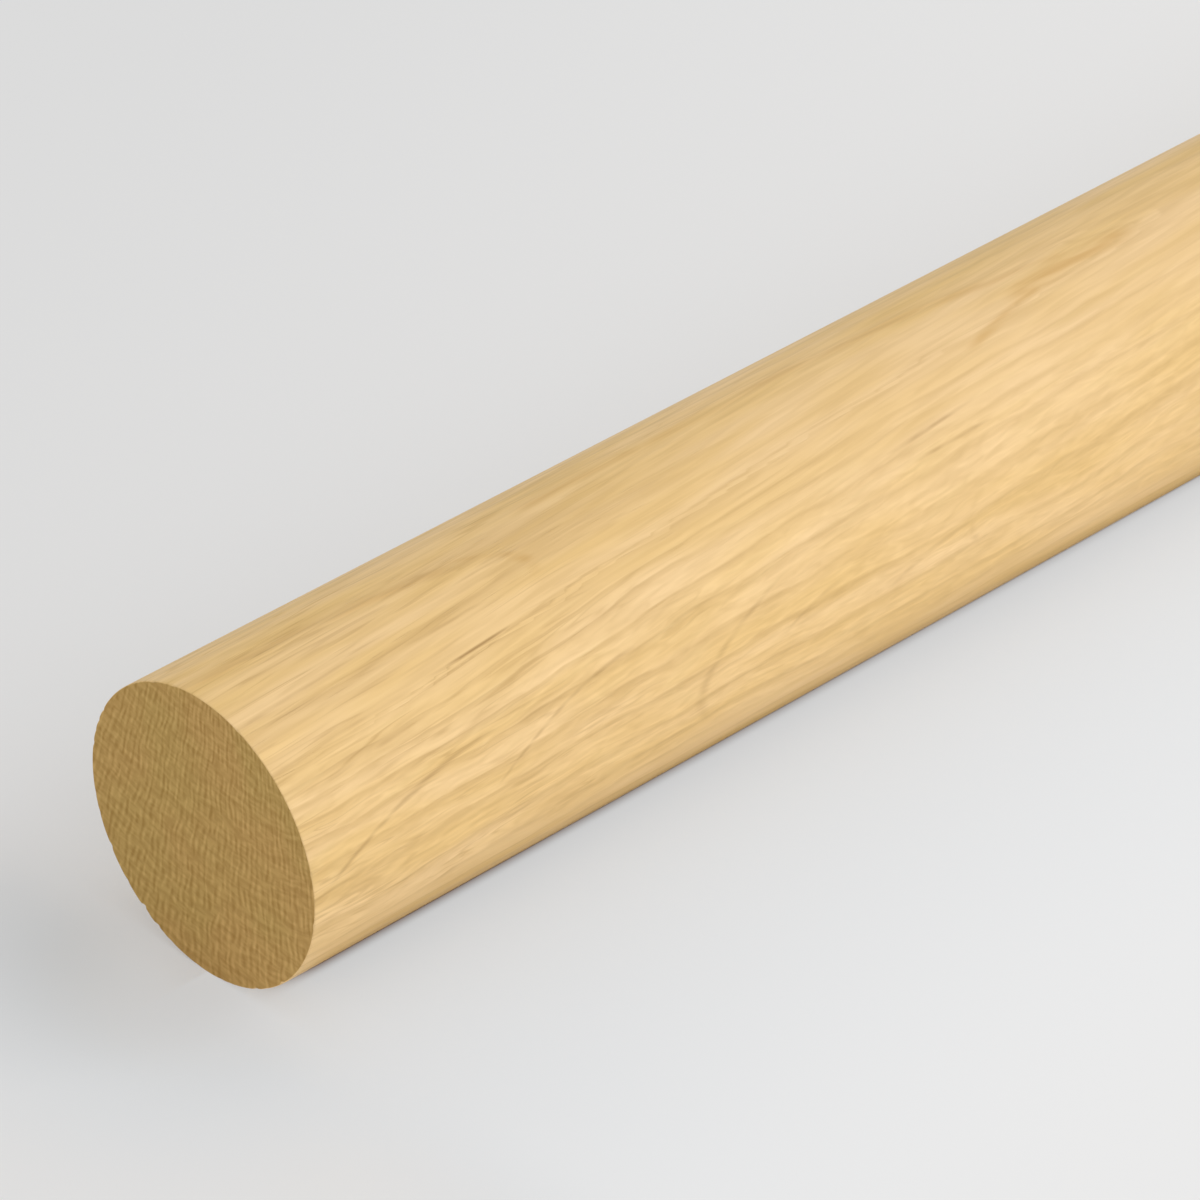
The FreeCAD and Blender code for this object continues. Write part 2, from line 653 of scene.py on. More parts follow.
def open_pores(tree, place, early):
    """Spots in long thin cells along the tree, in many cells of the early wood and in few of
    the late wood."""
    share = maths(tree, "MULTIPLY_ADD", early, MORE_PORES_IN_EARLY, PORES_IN_LATE)
    return cells(tree, stretched(tree, place, *PORE_SIZE), share, *PORE_SPOT)


def broad_rays(tree, place):
    """Spots in thin cells that stand along the tree and out from the pith."""
    sheets = vector_maths(tree, "MULTIPLY", place, (1 / RAY_HEIGHT, 1 / RAY_SPACING, 1 / RAY_DEPTH))
    return cells(tree, sheets, RAY_SHARE, *RAY_SPOT)


print(f"pores up to {PORE_SIZE[0]:.0f} mm long, rays up to {RAY_HEIGHT:.0f} mm high")

# %% [markdown]
# The rest of the grain is threads that lie along the tree: fine fibres, short curly flecks,
# broader streaks, and hairlines, which are drawn where a stretched noise crosses its middle
# value. Each could be set up in both finishes. One node group holds all the patterns instead,
# so that the side and the ends show the same wood and a change is made in one place.

# %% Threads, and the grain of oak as one node group
HAIRLINE_SIZE = (30.0, 1.3)
HAIRLINE_DETAIL = 1.5
HAIRLINE_WIDTH = 0.06
HAIRLINE_PATCHES = (14.0, 1.6)
HAIRLINE_SHOWN = (0.42, 0.66)
FIBRE_SIZE = (14.0, 0.65)
FLECK_SIZE = (4.0, 0.80)
FLECK_CURL = 1.0
STREAK_SIZE = (12.0, 1.05)
STREAK_SHOWN = (0.32, 0.68)
MOTTLE_SIZE = (30.0, 4.0)
MOTTLE_SHOWN = (0.25, 0.75)


def hairlines(tree, place):
    """Thin lines where a stretched noise crosses its middle value, shown in patches."""
    flow = noise(tree, place, HAIRLINE_SIZE, detail=HAIRLINE_DETAIL, curl=CURL)
    off_middle = maths(tree, "ABSOLUTE", lean(tree, flow))
    line = ramp(tree, off_middle, 0.0, HAIRLINE_WIDTH, 1.0, 0.0)
    return maths(tree, "MULTIPLY", line, patchy(tree, place, HAIRLINE_PATCHES, HAIRLINE_SHOWN))


def oak_grain_group():
    """Node group with the oak's patterns, from 0 to 1 where nothing else is said.

    early, year_line, pore, ray and hairline: as their functions say. fibre_lean: fine
    lengthwise threads, from -0.5 to 0.5. fleck_lean: short curly ones, also from -0.5 to 0.5.
    streak: longer and broader ones, half of them dark. mottle: broad slow changes of shade.
    """
    tree = bpy.data.node_groups.new("oak_grain", "ShaderNodeTree")
    along = reading(tree, "along_mm")
    place = add_node(tree, "ShaderNodeCombineXYZ", X=along, Y=reading(tree, "ray_mm"),
                     Z=reading(tree, "pith_mm")).outputs[0]
    early, year_line = early_wood(tree, place, along)
    flecks = noise(tree, place, FLECK_SIZE, detail=0.0, curl=FLECK_CURL)
    add_group_output(tree, early=early, year_line=year_line,
                     pore=open_pores(tree, place, early), ray=broad_rays(tree, place),
                     hairline=hairlines(tree, place),
                     fibre_lean=lean(tree, noise(tree, place, FIBRE_SIZE)),
                     fleck_lean=lean(tree, flecks),
                     streak=patchy(tree, place, STREAK_SIZE, STREAK_SHOWN, curl=CURL),
                     mottle=patchy(tree, place, MOTTLE_SIZE, MOTTLE_SHOWN))
    return tree


oak_grain = oak_grain_group()
print("grain group with", len(oak_grain.nodes), "nodes")

# %% [markdown]
# This rail also has marks of its own: on the front that faces the camera a few thin dark lines
# that bend across the grain where a ray comes to the surface, and some short split pores, and
# on the top a few broad amber patches. They can't be left to chance, and a painted picture of
# them would be one more file to carry. So each is a short arc, given by where it starts and
# ends along the rail, how high on the front it ends, and how it slopes and bends on the way.

# %% Marks of its own: where they lie on the front and the top
# start and end along the rail, height at the end, slope, bend, half width, strength; lengths in mm
MARKS_ALONG = [
    (1.0, 34.0, 10.2, 0.0, 0.0085, 0.55, 1.0),
    (30.0, 60.0, 11.1, 0.0, 0.0098, 0.45, 0.9),
    (81.0, 94.0, 5.5, 0.05, 0.0180, 0.50, 0.7),
    (100.0, 119.0, 4.1, 0.05, 0.0080, 0.60, 0.6),
    (-6.0, 52.0, 21.3, 0.061, 0.0, 0.40, 0.6),
    (28.5, 44.0, 20.9, 0.065, 0.0, 0.34, 2.0),
    (107.0, 127.0, 18.8, 0.075, 0.0, 0.45, 1.1),
    (111.0, 127.0, 15.3, 0.02, 0.0, 0.45, 1.0),
    (1.0, 26.0, 15.9, 0.075, 0.0, 0.45, 0.6),
    (-5.0, 22.0, 27.0, 0.07, 0.0, 0.40, 0.6),
    (26.0, 43.0, 25.4, 0.035, 0.0, 0.40, 0.6),
]
# the same, with along and height changed about: these cross the grain
MARKS_ACROSS = [
    (-6.0, 12.0, 89.6, 3.51, -0.1350, 1.50, 0.70),
    (-2.0, 5.0, 118.0, 0.55, -0.1200, 1.10, 0.55),
]
# broad amber patches on the top, given in the same two ways
PATCHES_ALONG = [
    (-4.0, 44.0, 32.6, -0.12, 0.0012, 1.50, 0.60),
    (56.0, 82.0, 36.9, 0.0, 0.0, 1.60, 0.60),
    (78.0, 158.0, 30.7, -0.21, 0.00175, 1.50, 0.60),
    (128.0, 150.0, 29.5, 0.22, 0.0, 1.20, 0.90),
    (140.0, 168.0, 30.3, 0.03, 0.0, 2.20, 1.0),
]
PATCHES_ACROSS = [
    (24.5, 35.0, 39.2, -3.07, 0.1960, 1.80, 1.10),
]
print(len(MARKS_ALONG) + len(MARKS_ACROSS), "marks on the front")
print(len(PATCHES_ALONG) + len(PATCHES_ACROSS), "amber patches on the top")

# %% [markdown]
# A mark is darkest on its own arc and fades to nothing a little to each side, and it tapers at
# both ends as a split in wood does. Curves with thickness would stand out of the wood. A few
# nodes that measure how far a place lies off the arc colour the wood itself, and some wear by
# noise keeps the marks from looking ruled.

# %% Marks of its own: drawn by nodes
LINE_TAPER = 5.0
MARK_WEAR_SIZE = (4.0, 1.0)
MARK_WEAR = (0.30, 0.65)
MARK_WORN_TO = 0.35
PATCH_WEAR_SIZE = (9.0, 1.4)
PATCH_WEAR = (0.30, 0.60)
PATCH_WORN_TO = 0.25


def add_mark(tree, along, height, mark):
    """Darkness of one mark: its strength on the line
    height = end height - slope * left - bend * left squared, where left is the length still to
    go to the mark's end, fading to 0 at its half width and tapering at both ends."""
    start, end, end_height, slope, bend, half_width, strength = mark
    left = maths(tree, "SUBTRACT", end, along)
    fall = maths(tree, "MULTIPLY", left, maths(tree, "MULTIPLY_ADD", left, bend, slope))
    off_line = maths(tree, "SUBTRACT", maths(tree, "SUBTRACT", end_height, fall), height)
    line = ramp(tree, maths(tree, "ABSOLUTE", off_line), 0.0, half_width, strength, 0.0)
    taper = min(LINE_TAPER, (end - start) / 2)
    starting = ramp(tree, along, start, start + taper)
    ending = ramp(tree, left, 0.0, taper)
    return maths(tree, "MULTIPLY", line, maths(tree, "MULTIPLY", starting, ending))


def add_marks(tree, along, height, marks_along, marks_across):
    """Darkness of a set of marks together: that of the darkest one at each place."""
    drawn = [add_mark(tree, along, height, mark) for mark in marks_along]
    drawn += [add_mark(tree, height, along, mark) for mark in marks_across]
    total = drawn[0]
    for line in drawn[1:]:
        total = maths(tree, "MAXIMUM", total, line)
    return total


def front_marks_group():
    """Node group with all the marks and patches, worn thinner here and there by noise."""
    tree = bpy.data.node_groups.new("front_marks", "ShaderNodeTree")
    along = reading(tree, "along_mm")
    height = reading(tree, "front_mm")
    marks = add_marks(tree, along, height, MARKS_ALONG, MARKS_ACROSS)
    patches = add_marks(tree, along, height, PATCHES_ALONG, PATCHES_ACROSS)
    place = add_node(tree, "ShaderNodeCombineXYZ", X=along, Y=height).outputs[0]
    worn = patchy(tree, place, MARK_WEAR_SIZE, MARK_WEAR, low=MARK_WORN_TO, detail=0.0)
    thin = patchy(tree, place, PATCH_WEAR_SIZE, PATCH_WEAR, low=PATCH_WORN_TO, detail=0.0)
    add_group_output(tree, mark=maths(tree, "MULTIPLY", marks, worn),
                     amber=maths(tree, "MULTIPLY", patches, thin))
    return tree


front_marks = front_marks_group()
print("marks drawn with", len(front_marks.nodes), "nodes")

# %% [markdown]
# A finish starts from a base colour and is then shaded and tinted, one pattern of the grain
# after another, as a grainer builds up wood in thin glazes. Mixing with Color Ramp nodes would
# do the same. Two helpers keep each glaze to one line, and a third one ends every finish with
# the same kind of surface.

# %% Helpers for the two finishes
DARKER_BROWNER = np.array([0.85, 1.0, 1.4])


def new_material(name):
    """An empty node material."""
    material = bpy.data.materials.new(name)
    material.use_nodes = True
    material.node_tree.nodes.clear()
    return material


def outputs_of(tree, group):
    """The outputs of a node group placed in a material."""
    return add_node(tree, "ShaderNodeGroup", {"node_tree": group}).outputs


def shade(tree, colour, amount, depth):
    """The colour made lighter, or darker and browner where amount is below 0: its red, green and
    blue are each multiplied by 1 + amount * depth * their part of DARKER_BROWNER."""
    factor = vector_maths(tree, "MULTIPLY_ADD", amount, depth * DARKER_BROWNER, (1.0, 1.0, 1.0))
    return vector_maths(tree, "MULTIPLY", colour, factor)


def tint(tree, colour, amount, strength, other):
    """The colour blended towards the other by strength times amount."""
    return blend(tree, maths(tree, "MULTIPLY", amount, strength), colour, other)


def finish_material(tree, colour, roughness, height, bump_distance, specular):
    """A Principled surface with that colour, roughness and bump, on a new output node."""
    bump = add_node(tree, "ShaderNodeBump", Strength=1.0, Distance=bump_distance, Height=height)
    surface = add_node(tree, "ShaderNodeBsdfPrincipled", Base_Color=colour, Roughness=roughness,
                       Normal=bump.outputs[0])
    surface.inputs["Specular IOR Level"].default_value = specular
    add_node(tree, "ShaderNodeOutputMaterial", Surface=surface.outputs[0])


print("red, green and blue are shaded in the parts", DARKER_BROWNER)

# %% [markdown]
# The side is pale golden wood, honey in some places and nearer to peach in others, as slow
# changes in the tree and in the light on it make them. One flat colour would look like plastic.
# Two colours, blended by the broadest pattern of the grain and by the place on the rail, give
# the field on which everything finer is drawn.

# %% Plain wood of the side
SIDE_PEACH = srgb(246, 210, 156)
SIDE_HONEY = srgb(234, 195, 124)
PEACH_LEAST = 0.22
PEACH_MOTTLE = 0.55
PEACH_FURTHER_ON = 0.25
PEACH_ON_TOP = -0.30
HONEY_FROM = (27.0, 40.0)


def field_colour(tree, grain, along, up, in_front):
    """Colour of the plain wood: honey turning to peach in broad patches, more peach further
    along above the front, and more honey on the top."""
    peach = maths(tree, "MULTIPLY_ADD", grain["mottle"], PEACH_MOTTLE, PEACH_LEAST)
    further_on = ramp(tree, in_front, 0.0, 1.0, PEACH_FURTHER_ON, 0.0)
    above_front = ramp(tree, along, *CALMER, 0.0, further_on)
    leaning = ramp(tree, up, *HONEY_FROM, above_front, PEACH_ON_TOP)
    return blend(tree, maths(tree, "ADD", peach, leaning), SIDE_HONEY, SIDE_PEACH)


print("honey", np.round(SIDE_HONEY, 2), "to peach", np.round(SIDE_PEACH, 2))

# %% [markdown]
# Over the field lie the broad glazes: streaks, the amber patches, the tan early wood and the
# pale rays. Low on the front, where the rail turns under and the light is flat, streaks and
# early wood show only faintly in the photograph. A second material could cover that band, with
# a seam to hide. One mask that fades them there has no seam.

# %% Broad glazes of the side
SIDE_EARLY = srgb(214, 176, 113)
SIDE_AMBER = srgb(212, 164, 88)
SIDE_RAY = srgb(246, 214, 152)
LOW_FRONT = (-8.5, -4.0)
UNDERSIDE = (-34.0, -22.0)
LOW_FRONT_GRAIN = 0.4
STREAK_DEPTH = 0.09
AMBER_STRENGTH = 0.58
EARLY_ON_TOP = 0.34
EARLY_IN_FRONT = 0.45
RAY_STRENGTH = 0.15


def grain_clearness(tree, up):
    """How clearly the grain shows: fully, except low on the front, between two smooth steps of
    the height on the front."""
    above = ramp(tree, up, *LOW_FRONT, LOW_FRONT_GRAIN, 1.0)
    under = ramp(tree, up, *UNDERSIDE, 1.0, LOW_FRONT_GRAIN)
    return maths(tree, "MAXIMUM", above, under)


def broad_glazes(tree, colour, grain, marks, in_front, clearness):
    """The colour shaded by streaks, then tinted by amber patches, early wood and rays."""
    streak = maths(tree, "MULTIPLY", lean(tree, grain["streak"]), clearness)
    colour = shade(tree, colour, streak, STREAK_DEPTH)
    colour = tint(tree, colour, marks["amber"], AMBER_STRENGTH, SIDE_AMBER)
    early_strength = ramp(tree, in_front, 0.0, 1.0, EARLY_ON_TOP, EARLY_IN_FRONT)
    early = maths(tree, "MULTIPLY", grain["early"], early_strength)
    colour = tint(tree, colour, early, clearness, SIDE_EARLY)
    return tint(tree, colour, grain["ray"], RAY_STRENGTH, SIDE_RAY)


print(f"early wood tinted by {EARLY_ON_TOP} on the top and {EARLY_IN_FRONT} in front")

# %% [markdown]
# The side has been sanded fine and given a thin clear satin finish, with a soft sheen and no
# sharp reflection. A coat layer could stand for that finish, but a thin satin one only softens
# the wood's own sheen, so a middling roughness does. Fibres, flecks, lines and pores come last.
# Colour, roughness and a very shallow bump read the same grain, so that a pore is dark, dull
# and sunken at once.

# %% Finish of the side
SIDE_DARK = srgb(150, 109, 58)
FRONT_FADES = (10.0, 24.0)
FINE_GRAIN_FURTHER_ON = 0.3
FIBRE_DEPTH = 0.15
FLECK_DEPTH = 0.20
YEAR_LINE_STRENGTH = 0.16
HAIRLINE_STRENGTH = 0.12
HAIRLINES_AT_NEAR_END = 1.9
NEAR_END_FADES = (10.0, 80.0)
PORE_STRENGTH = 0.07
MARK_STRENGTH = 0.34
SIDE_ROUGHNESS = 0.44
SUNKEN_ROUGHER_BY = 0.12
FIBRE_RELIEF = 0.25
SIDE_BUMP = 0.03
SIDE_SPECULAR = 0.30


def satin_side():
    """Clear-finished oak: pale field and broad glazes, shaded by fibres and flecks and then
    tinted dark by lines, pores and marks, with the fine ones fainter further along."""
    material = new_material("satin_oak_side")
    tree = material.node_tree
    grain = outputs_of(tree, oak_grain)
    marks = outputs_of(tree, front_marks)
    along = reading(tree, "along_mm")
    up = reading(tree, "front_mm")
    in_front = ramp(tree, up, *FRONT_FADES, 1.0, 0.0)
    clearness = grain_clearness(tree, up)
    calm = ramp(tree, along, *CALMER, 1.0, FINE_GRAIN_FURTHER_ON)
    fineness = maths(tree, "MULTIPLY", calm, clearness)

    colour = field_colour(tree, grain, along, up, in_front)
    colour = broad_glazes(tree, colour, grain, marks, in_front, clearness)
    fibre = maths(tree, "MULTIPLY", grain["fibre_lean"], fineness)
    colour = shade(tree, colour, fibre, FIBRE_DEPTH)
    fleck_share = maths(tree, "MULTIPLY", in_front, clearness)
    flecks = maths(tree, "MULTIPLY", grain["fleck_lean"], fleck_share)
    colour = shade(tree, colour, flecks, FLECK_DEPTH)

    near_end = ramp(tree, along, *NEAR_END_FADES, HAIRLINES_AT_NEAR_END, 1.0)
    hairline = maths(tree, "MULTIPLY", grain["hairline"], near_end)
    hairline = maths(tree, "MULTIPLY", hairline, fineness)
    pore = maths(tree, "MULTIPLY", grain["pore"], fineness)
    colour = tint(tree, colour, grain["year_line"], YEAR_LINE_STRENGTH, SIDE_DARK)
    colour = tint(tree, colour, hairline, HAIRLINE_STRENGTH, SIDE_DARK)
    colour = tint(tree, colour, pore, PORE_STRENGTH, SIDE_DARK)
    colour = tint(tree, colour, marks["mark"], MARK_STRENGTH, SIDE_DARK)

    sunken = maths(tree, "MAXIMUM", maths(tree, "MAXIMUM", pore, marks["mark"]), hairline)
    roughness = maths(tree, "MULTIPLY_ADD", sunken, SUNKEN_ROUGHER_BY, SIDE_ROUGHNESS)
    height = maths(tree, "SUBTRACT", maths(tree, "MULTIPLY", fibre, FIBRE_RELIEF), pore)
    finish_material(tree, colour, roughness, height, SIDE_BUMP * MM, SIDE_SPECULAR)
    return material


rail_mesh.materials.append(satin_side())
print("side finish with", len(rail_mesh.materials[0].node_tree.nodes), "nodes")

# %% [markdown]
# On a sawn end the rays stand up the face as fine close lines and the years cross them, and
# together they look like a coarse weave. A fabric texture would repeat, and it would not know
# which way the pith lies. So the warp is a sine wave round the pith that wanders and breaks off
# here and there, and the weft is noise drawn out wide.

# %% Weave of the sawn ends
END_RAY_SPACING = 1.02
END_RAY_WANDER = 1.3
END_RAY_LENGTH = 2.4
END_ROW_SPACING = 0.75
WANDER_SIZE = (2.5, 4.0)
WARP_BREAK_SIZE = (1.0, END_RAY_LENGTH)
WARP_SHOWN = (0.35, 0.62)
WEFT_SIZE = (END_RAY_LENGTH, END_ROW_SPACING)
WEFT_SHOWN = (0.34, 0.66)


def end_warp(tree, place, round_pith):
    """Rays from 0 to 1: half of 1 plus a sine wave of the distance round the pith, whose places
    wander by noise and whose height falls to nothing in patches."""
    rays = maths(tree, "DIVIDE", round_pith, END_RAY_SPACING)
    turns = maths(tree, "MULTIPLY_ADD", noise(tree, place, WANDER_SIZE), END_RAY_WANDER, rays)
    wave = maths(tree, "SINE", maths(tree, "MULTIPLY", turns, 2 * math.pi))
    broken = maths(tree, "MULTIPLY", wave, patchy(tree, place, WARP_BREAK_SIZE, WARP_SHOWN))
    return maths(tree, "MULTIPLY_ADD", broken, 0.5, 0.5)


print(f"a ray every {END_RAY_SPACING} mm on the sawn ends")

# %% [markdown]
# The ends are bare: the saw cut straight across the grain and nothing was put on after. Cut
# across, the pores are open mouths that swallow light, so the same wood looks far darker and
# browner there, and quite dull. Darkening the side's finish would keep its sheen and its
# lengthwise grain. A material of its own, on the same grain group, has neither.

# %% Finish of the sawn ends
END_DARK = srgb(163, 124, 59)
END_PALE = srgb(223, 186, 117)
END_REDDER = (1.03, 1.0, 1.0, 1.0)
END_GREENER = (0.99, 1.01, 0.97, 1.0)
WARP_SHARE = 0.44
WEFT_SHARE = 0.22
PALE_LEAST = 0.17
END_EARLY_STRENGTH = 0.16
END_PATCH_SIZE = (14.0, 14.0)
END_PATCH_SHOWN = (0.35, 0.65)
FUZZ_SIZE = (0.42, 0.42)
FUZZ_DEPTH = 0.10
END_PORE_STRENGTH = 0.10
WARP_RELIEF = 0.5
END_ROUGHNESS = 0.85
END_BUMP = 0.025
END_SPECULAR = 0.25


def sawn_end():
    """Bare end grain: dark and pale brown blended by the weave, tinted dark by the years' starts
    and the pores, turned redder and greener in patches, with a fuzzy surface."""
    material = new_material("sawn_oak_end")
    tree = material.node_tree
    grain = outputs_of(tree, oak_grain)
    round_pith = reading(tree, "ray_mm")
    out_from_pith = reading(tree, "pith_mm")
    place = add_node(tree, "ShaderNodeCombineXYZ", X=round_pith, Y=out_from_pith).outputs[0]

    warp = end_warp(tree, place, round_pith)
    weft = patchy(tree, place, WEFT_SIZE, WEFT_SHOWN)
    crossing = maths(tree, "MULTIPLY_ADD", weft, WEFT_SHARE, PALE_LEAST)
    woven = maths(tree, "MULTIPLY_ADD", warp, WARP_SHARE, crossing)
    colour = blend(tree, woven, END_DARK, END_PALE)

    colour = tint(tree, colour, grain["early"], END_EARLY_STRENGTH, END_DARK)
    patches = patchy(tree, place, END_PATCH_SIZE, END_PATCH_SHOWN)
    colour = vector_maths(tree, "MULTIPLY", colour, blend(tree, patches, END_GREENER, END_REDDER))
    fuzz = noise(tree, place, FUZZ_SIZE)
    colour = shade(tree, colour, lean(tree, fuzz), FUZZ_DEPTH)
    colour = tint(tree, colour, grain["pore"], END_PORE_STRENGTH, END_DARK)
    height = maths(tree, "MULTIPLY_ADD", warp, WARP_RELIEF, fuzz)
    finish_material(tree, colour, END_ROUGHNESS, height, END_BUMP * MM, END_SPECULAR)
    return material


rail_mesh.materials.append(sawn_end())
print("end finish with", len(rail_mesh.materials[1].node_tree.nodes), "nodes")

# %% [markdown]
# The finish stops where the saw cut: the two end faces are bare, and the broken edge was sanded
# with the side. Faces could be picked by the way they look, but a rounded edge has no clear
# limit. Each face knows which line of the grid it starts from, so the lines decide.

# %% Which faces are sawn
def paint_ends(mesh, lines, steps):
    """Gives the sawn finish to both end faces, up to the start of the broken edge, and the
    satin finish to the rest, by the line that each quad starts from."""
    face_lines = np.repeat(np.arange(lines - 1), steps)
    near = face_lines < END_RINGS
    far = face_lines >= lines - 1 - END_RINGS
    ends = np.concatenate([near | far, np.ones(2 * steps, bool)])
    mesh.polygons.foreach_set("material_index", ends.astype(np.int32))
    print("sawn faces", int(ends.sum()), "of", len(ends))


paint_ends(rail_mesh, *grid.shape[:2])

# %% [markdown]
# The stage is plain: a pale floor without an edge in view. What it looks like depends on where
# a place lies from the rail, so the floor first gets a ruler: a node group that measures each
# place in millimetres. Painted weights on a dense mesh could carry the same numbers, but the
# group needs no more than one square face.

# %% Places on the floor
SWEEP_TOWARDS_CAMERA = 0.25


def length_of(tree, along, across):
    """Length of the straight line that goes so far along and so far across."""
    squares = maths(tree, "MULTIPLY_ADD", along, along, maths(tree, "MULTIPLY", across, across))
    return maths(tree, "SQRT", squares)


def floor_places_group():
    """Node group that measures a place on the floor, in mm.

    past_near and past_far: how far it is past each end of the rail. past_ends: the larger of
    the two. away: distance from the line on which the rail lies. from_end: distance from the
    near end. sweep: distance from the near end towards the lamp's side, which is to the right
    of the photograph and a little towards the camera. in_front: 1 on the camera's side.
    """
    tree = bpy.data.node_groups.new("floor_places", "ShaderNodeTree")
    place = add_node(tree, "ShaderNodeTexCoord").outputs["Object"]
    from_corner = vector_maths(tree, "SUBTRACT", place, (NEAR_END[0], 0.0, 0.0))
    parts = add_node(tree, "ShaderNodeSeparateXYZ", Vector=stretched(tree, from_corner, MM, MM))
    along = parts.outputs["X"]
    across = parts.outputs["Y"]
    past_near = maths(tree, "SUBTRACT", 0.0, along)
    past_far = maths(tree, "SUBTRACT", along, RAIL_LENGTH / MM)
    past_ends = maths(tree, "MAXIMUM", past_near, past_far)
    away = length_of(tree, maths(tree, "MAXIMUM", past_ends, 0.0), across)
    right = np.array([math.cos(CAMERA_AZIMUTH), math.sin(CAMERA_AZIMUTH), 0.0])
    nearer = np.array([math.sin(CAMERA_AZIMUTH), -math.cos(CAMERA_AZIMUTH), 0.0])
    sweep = dot_product(tree, from_corner, (right + SWEEP_TOWARDS_CAMERA * nearer) / MM)
    add_group_output(tree, past_near=past_near, past_far=past_far, past_ends=past_ends, away=away,
                     from_end=length_of(tree, along, across), sweep=sweep,
                     in_front=maths(tree, "LESS_THAN", across, 0.0))
    return tree


floor_places = floor_places_group()
print("floor measured by", len(floor_places.nodes), "nodes")

# %% [markdown]
# Bright floors wash out shadows in a studio picture, and this floor does the same: part of the
# paleness that is seen is its own, and only the rest is lit and so can be in shadow. A brighter
# floor colour alone would not do, because a white floor in shade is still grey. The floor's own
# paleness holds painted light, growing slowly from the left of the rail to the right, and painted
# shade, a little dimmer close to the rail.

# %% How pale the floor is
FLOOR_SEEN = 0.80
# painted light: the floor's own paleness grows from left to right, towards the lamp
FLOOR_SEEN_LEFT = 0.69
FLOOR_SEEN_RIGHT = 0.87
FLOOR_SWEEP = (-100.0, 150.0)
SWEEP_FADES = (250.0, 800.0)
# painted shade: the floor's own paleness is a little lower close to the rail
PAINTED_SHADE_NEAR = (20.0, 90.0)
PAINTED_SHADE_TO = 0.94


def between(tree, share, first, second):
    """The first number turning into the second as share goes from 0 to 1."""
    return add_node(tree, "ShaderNodeMix", Factor=share, A=first, B=second).outputs[0]


def times(tree, *values):
    """The product of several numbers."""
    product = values[0]
    for value in values[1:]:
        product = maths(tree, "MULTIPLY", product, value)
    return product


def paleness_seen(tree, at):
    """How pale the floor is seen by itself: painted light, darker on the left and paler on the right
    round the near end, painted shade a little dimmer close to the rail, and even further off."""
    swept = ramp(tree, at["sweep"], *FLOOR_SWEEP, FLOOR_SEEN_LEFT, FLOOR_SEEN_RIGHT)
    painted_light_and_shade = times(tree, swept, ramp(tree, at["away"], *PAINTED_SHADE_NEAR, PAINTED_SHADE_TO, 1.0))
    return between(tree, ramp(tree, at["from_end"], *SWEEP_FADES), painted_light_and_shade, FLOOR_SEEN)


print(f"floor seen from {FLOOR_SEEN_LEFT} on the left to {FLOOR_SEEN_RIGHT} on the right")

# %% [markdown]
# The rail's shadow is soft, and the photograph shows it plainly off the near end, less behind
# the rail and least in front. More lamps could thin it out in some places, and would lighten the
# wood as well. Instead the lit part of the floor's paleness is larger where the shadow shows.

# %% How much of the floor can be in shadow
SHADOW_SHARE = 0.45
SHADOW_SHARE_FAR_OFF = 0.10
FAR_OFF = (250.0, 900.0)
SHADOW_SHARE_FRONT = 0.28
SHADOW_SHARE_BACK = 0.55
SHADOW_SHARE_AT_END = 0.50
SHADOW_SHARE_PAST_END = 1.0
BY_RAIL = (60.0, 200.0)
BEFORE_FAR_END = (-80.0, 40.0)
PAST_END_AWAY = (5.0, 24.0)
PAST_END_FADES = (60.0, 160.0)


def shadow_share(tree, at, past_end):
    """How much of the floor's paleness is lit and so can be in shadow: less in front of the
    rail, more behind it, most off the near end, where the rail's shadow falls, and little far
    off, so that the lamp leaves no bright pool on the floor."""
    by_rail = times(tree, ramp(tree, at["away"], *BY_RAIL, 1.0, 0.0),
                    ramp(tree, at["past_far"], *BEFORE_FAR_END, 1.0, 0.0))
    by_side = between(tree, at["in_front"], SHADOW_SHARE_BACK, SHADOW_SHARE_FRONT)
    plain = ramp(tree, at["away"], *FAR_OFF, SHADOW_SHARE, SHADOW_SHARE_FAR_OFF)
    share = between(tree, by_rail, plain, by_side)
    off_end = ramp(tree, at["away"], *PAST_END_AWAY, SHADOW_SHARE_AT_END, SHADOW_SHARE_PAST_END)
    faded = between(tree, ramp(tree, at["away"], *PAST_END_FADES), off_end, plain)
    return between(tree, past_end, share, faded)


print(f"lit share of the floor {SHADOW_SHARE_FRONT} in front and {SHADOW_SHARE_BACK} behind the rail")

# %% [markdown]
# Where a round rail meets the floor hardly any light gets in, and what does has bounced off the
# wood, so a thin brown line shows there with a soft shade beside it. Light that bounces round a
# scene makes such a line by itself, only fainter on a floor whose paleness is partly its own. So
# the line and the shade are painted: the floor's lit part is given a brown painted shade there,
# and is a little cooler where warm light off the wood would tint it too much.

# %% Colour of the lit floor, and the painted shade where the rail touches it
FLOOR_LIT = (0.86, 0.86, 0.86, 1.0)
COOL_IN_FRONT = (0.80, 0.86, 0.93, 1.0)
COOL_NEAR = (15.0, 120.0)
COOL_FRONT_STOPS = (-20.0, 20.0)
COOL_PAST_END = (0.83, 0.86, 0.89, 1.0)
COOL_PAST_END_FADES = (20.0, 50.0)
# painted shade: the brown that the lit floor turns to where the rail touches, in place of a deeper
# contact shadow
PAINTED_CONTACT_SHADE_COLOUR = (0.42, 0.17, 0.06, 1.0)
CONTACT_NEAR = (7.8, 10.6)
CONTACT_FAR = 0.20
CONTACT_LINE = (8.5, 9.2)
CONTACT_LINE_FAR = 0.55
CONTACT_SWEEP = (0.0, 140.0)


